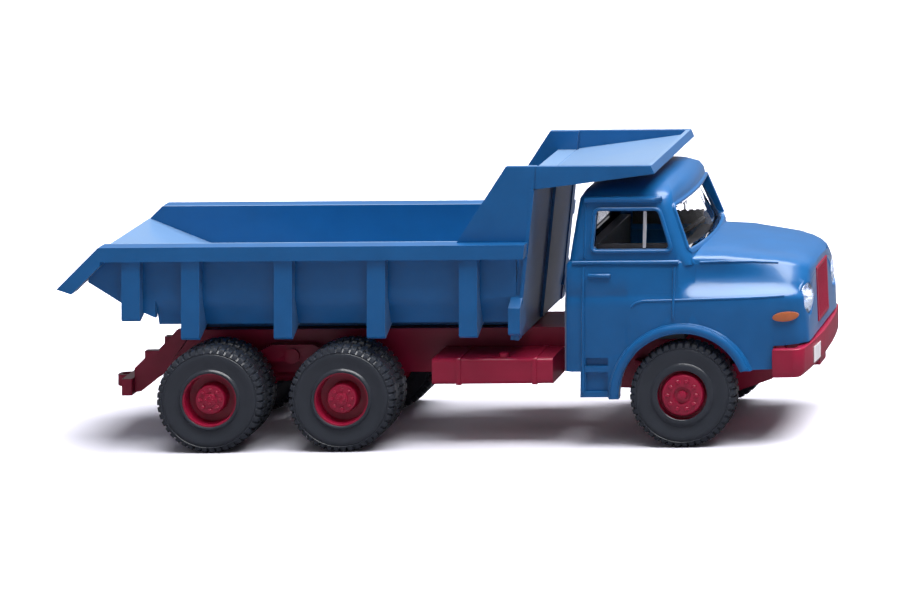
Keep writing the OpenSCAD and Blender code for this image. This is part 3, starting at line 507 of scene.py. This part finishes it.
def rounded(corners, grow, radius, steps=6, along=12):
    """An outline grown outward, with rounded corners and points along its edges."""
    points = [Vector(c) for c in corners]
    n = len(points)
    grown = []
    for i, point in enumerate(points):
        ahead = (points[(i + 1) % n] - point).normalized()
        behind = (points[i - 1] - point).normalized()
        half = ahead.angle(behind) / 2
        grown.append(point - (ahead + behind).normalized() * (grow / math.sin(half)))
    line = []
    for i, point in enumerate(grown):
        after = grown[(i + 1) % n]
        start = point + (grown[i - 1] - point).normalized() * radius
        end = point + (after - point).normalized() * radius
        stop = after + (point - after).normalized() * radius
        for k in range(steps + 1):
            t = k / steps
            line.append((1 - t) ** 2 * start + 2 * t * (1 - t) * point + t * t * end)
        line += [end.lerp(stop, k / along) for k in range(1, along)]
    return line


def fine(line, steps=10):
    """More points along an open line."""
    points = [Vector(p) for p in line]
    return [a.lerp(b, k / steps) for a, b in zip(points, points[1:]) for k in range(steps)] + points[-1:]


def bead(mesh, tree, path, into, size, closed=False):
    """A rounded bead along a path, half sunk in the surface that lines along into meet."""
    width, rise = size
    into = Vector(into)
    spots = [spot(tree, Vector(p) - into * FROM_AFAR, into) for p in path]
    n = len(spots)
    rings = []
    for i, (place, normal) in enumerate(spots):
        before = spots[i - 1 if closed or i else i][0]
        after = spots[(i + 1) % n if closed or i < n - 1 else i][0]
        across = (after - before).normalized().cross(normal).normalized()
        rings.append([place + across * (width / 2 * math.cos(a)) + normal * (rise * math.sin(a))
            for a in turns(BEAD_SIDES)])
    if closed:
        skin(mesh, rings)
    else:
        rod(mesh, rings)


def on_side(line):
    return [(p.x, 0, p.y) for p in line]


def cab_beads():
    """Beads round the panes and on the arches, the drip rail, and the lines on doors, bonnet and wings."""
    tree = solid_surface("cab_shell")
    mesh = bmesh.new()
    bead(mesh, tree, [(0, p.x, p.y) for p in fine(SCREEN_LINE)], (-1, 0, 0), SCREEN_BEAD)
    angles = [math.radians(a) for a in ARCH_ANGLES]
    arch = [(ARCH_X + ARCH_R * math.cos(a), 0, ARCH_Z + ARCH_R * math.sin(a)) for a in angles]
    lines = [(BONNET_LINE, BONNET_BEAD), (WING_LINE, WING_BEAD), (DRIP_LINE, DRIP_BEAD)]
    lines += [(door, DOOR_BEAD) for door in DOOR_LINES]
    for side in SIDES:
        into = (0, -side, 0)
        bead(mesh, tree, on_side(rounded(SIDE_PANE, PANE_GROW, PANE_CORNER)), into, PANE_BEAD, closed=True)
        bead(mesh, tree, arch, into, ARCH_BEAD)
        for line, size in lines:
            bead(mesh, tree, on_side(fine(line)), into, size)
    finish_piece("cab_beads", mesh, "blue_plastic", "chassis")


# Caps inside the doors: section along Y and Z, and stations along X

SILL_SECTION = ((11.38, 22.3), (11.38, 22.8), (10.75, 22.85), (10.75, 23.9), (10.65, 24.0), (10.4, 24.0),
    (10.4, 22.3))
SILL_X = (18.5, 22.8, 27.0)


def window_sills():
    """Caps inside the doors, under the side panes."""
    mesh = bmesh.new()
    for side in SIDES:
        rod(mesh, [[(x, side * y, z) for y, z in SILL_SECTION] for x in SILL_X])
    finish_piece("window_sills", mesh, "grey_plastic", "chassis")


# Seam of the canopy: how far its strips reach into the canopy and into the head board behind it

HEAD_LEAN = 0.102
SEAM_AHEAD, SEAM_BEHIND = 0.3, 0.5
# From the canopy's top down to a strip's foot and head, and from the canopy's sides in to the strip
SEAM_SIDES = (2.6, 0.08, 0.68, 0.12)
SEAM_FLOOR = (2.75, 2.34, 0.6)


def canopy_seams():
    """Strips that fill the seam between the leaning head board and the upright back of the canopy."""
    box = [Vector(corner) / MM for corner in NODES["bed_canopy"].bound_box]
    rear, top, half = min(p.x for p in box), max(p.z for p in box), max(p.y for p in box)
    foot, head, inner, outer = SEAM_SIDES
    floor_foot, floor_head, short = SEAM_FLOOR
    strips = ((foot, head, half - inner, half - outer), (foot, head, outer - half, inner - half),
        (floor_foot, floor_head, short - half, half - short))
    mesh = bmesh.new()
    for low, high, near, far in strips:
        outline = [(rear + SEAM_AHEAD, top - high), (rear + SEAM_AHEAD, top - low)]
        outline += [(rear - SEAM_BEHIND - HEAD_LEAN * drop, top - drop) for drop in (low, high)]
        rod(mesh, [[(x, y, z) for x, z in outline] for y in (near, far)])
    finish_piece("canopy_seams", mesh, "bed_plastic", "bed")


reflectors()
window_bars()
cab_beads()
window_sills()
canopy_seams()


# Floor and surroundings

FLOOR_SIZE = 6
# Shades of the floor to the eye, and its shade as light on the object and in reflections
FLOOR_SEEN = (0.9, 0.94)
FLOOR_BOUNCED, FLOOR_MIRRORED = 0.4, 0.06
FLOOR_TINT = (0.95, 0.94, 1.05)
# Distances from the middle over which the floor goes over to white
FADE_START, FADE_END = 0.35, 0.6
SKY_TINT = (0.97, 0.95, 1, 1)
SKY_FRONT, SKY_BEHIND, SKY_SEEN = 0.15, 0.25, 1.06


def by_ray(tree, bounced, mirrored, seen):
    """One number for light that bounces, one in reflections and one to the eye, also through glass."""
    path = tree.nodes.new("ShaderNodeLightPath")
    eye = maths(tree, "MAXIMUM", path.outputs["Is Camera Ray"], path.outputs["Is Transmission Ray"])
    thrown = between(tree, path.outputs["Is Glossy Ray"], 0, 1, bounced, mirrored)
    return between(tree, eye, 0, 1, thrown, seen)


def stage_material():
    """Pale floor that is seen as white where no shadow falls and far off, and throws little light back."""
    material, tree, shader = new_material("floor_look")
    coords = tree.nodes.new("ShaderNodeTexCoord")
    reach = tree.nodes.new("ShaderNodeVectorMath")
    reach.operation = "LENGTH"
    tree.links.new(coords.outputs["Object"], reach.inputs[0])
    far = between(tree, reach.outputs["Value"], FADE_START, FADE_END)
    tree.links.new(by_ray(tree, 0.0, 0.0, far), shader.inputs["Emission Strength"])
    pale = between(tree, noise(tree, 6), 0, 1, *FLOOR_SEEN)
    grey = by_ray(tree, FLOOR_BOUNCED, FLOOR_MIRRORED, pale)
    tree.links.new(scaled(tree, FLOOR_TINT, grey), shader.inputs["Base Color"])
    set_inputs(shader, {"Emission Color": (1, 1, 1, 1), "Roughness": 0.6, "Specular IOR Level": 0.1})
    return material


def floor():
    bpy.ops.mesh.primitive_plane_add(size=FLOOR_SIZE)
    obj = bpy.context.object
    obj.name = "floor"
    obj.data.materials.append(stage_material())


def world():
    """Surroundings that are white to the camera; as light, dim on the camera's side and brighter behind."""
    sky = bpy.data.worlds.new("studio")
    sky.use_nodes = True
    SCENE.world = sky
    tree = sky.node_tree
    back = tree.nodes["Background"]
    back.inputs["Color"].default_value = SKY_TINT
    light = between(tree, coordinate(tree, "Generated", "Y"), 0.2, 1.0, SKY_FRONT, SKY_BEHIND)
    tree.links.new(by_ray(tree, light, light, SKY_SEEN), back.inputs["Strength"])


# Lights: place, target, width and height, and watts

LIGHTS = {
    "key": ((0.15, 0.0, 0.75), (0, 0, 0), (0.8, 0.8), 20),
    "back": ((-0.1, 0.75, 0.5), (0, 0, 0), (1.0, 0.4), 0.5),
    "front": ((0.1, -0.55, 0.6), (0, 0, 0.015), (0.8, 0.25), 0.55),
}


def area_light(name, place, target, size, watts):
    lamp = bpy.data.lights.new(name, "AREA")
    lamp.shape = "RECTANGLE"
    lamp.size, lamp.size_y = size
    lamp.energy = watts
    obj = bpy.data.objects.new(name, lamp)
    SCENE.collection.objects.link(obj)
    obj.location = place
    obj.rotation_euler = (Vector(target) - Vector(place)).to_track_quat("-Z", "Y").to_euler()
    obj.visible_camera = False
    obj.visible_transmission = False


# Camera: its place, how far its picture lies left of and under its axis, and its lens

CAMERA_EYE = Vector((147.22, -625.75, 145.52)) * MM
CAMERA_YAW = math.radians(-2)
CAMERA_LEFT, CAMERA_DOWN = 0.27476, 0.21018
FOCAL_PX, PICTURE_PX, SENSOR_MM = 5100, 900, 36


def camera():
    """The photo's view: a camera square to the truck's side whose picture is taken off its axis."""
    right = Vector((math.cos(CAMERA_YAW), math.sin(CAMERA_YAW), 0))
    up = Vector((0, 0, 1))
    ahead = Vector((-math.sin(CAMERA_YAW), math.cos(CAMERA_YAW), 0))
    ray = ahead - CAMERA_LEFT * right - CAMERA_DOWN * up
    data = bpy.data.cameras.new("camera")
    data.sensor_width = SENSOR_MM
    data.lens = FOCAL_PX * ray.length * SENSOR_MM / PICTURE_PX
    data.clip_start = 0.01
    data.clip_end = 20
    obj = bpy.data.objects.new("camera", data)
    SCENE.collection.objects.link(obj)
    stand = bpy.data.objects.new("camera_stand", None)
    SCENE.collection.objects.link(stand)
    obj.parent = stand
    columns = (right, up, -ray.normalized(), CAMERA_EYE)
    obj.matrix_parent_inverse = Matrix([[column[i] for column in columns] for i in range(3)] + [[0, 0, 0, 1]])
    SCENE.camera = obj


floor()
for name, settings in LIGHTS.items():
    area_light(name, *settings)
world()
camera()
SCENE.view_settings.view_transform = "Standard"
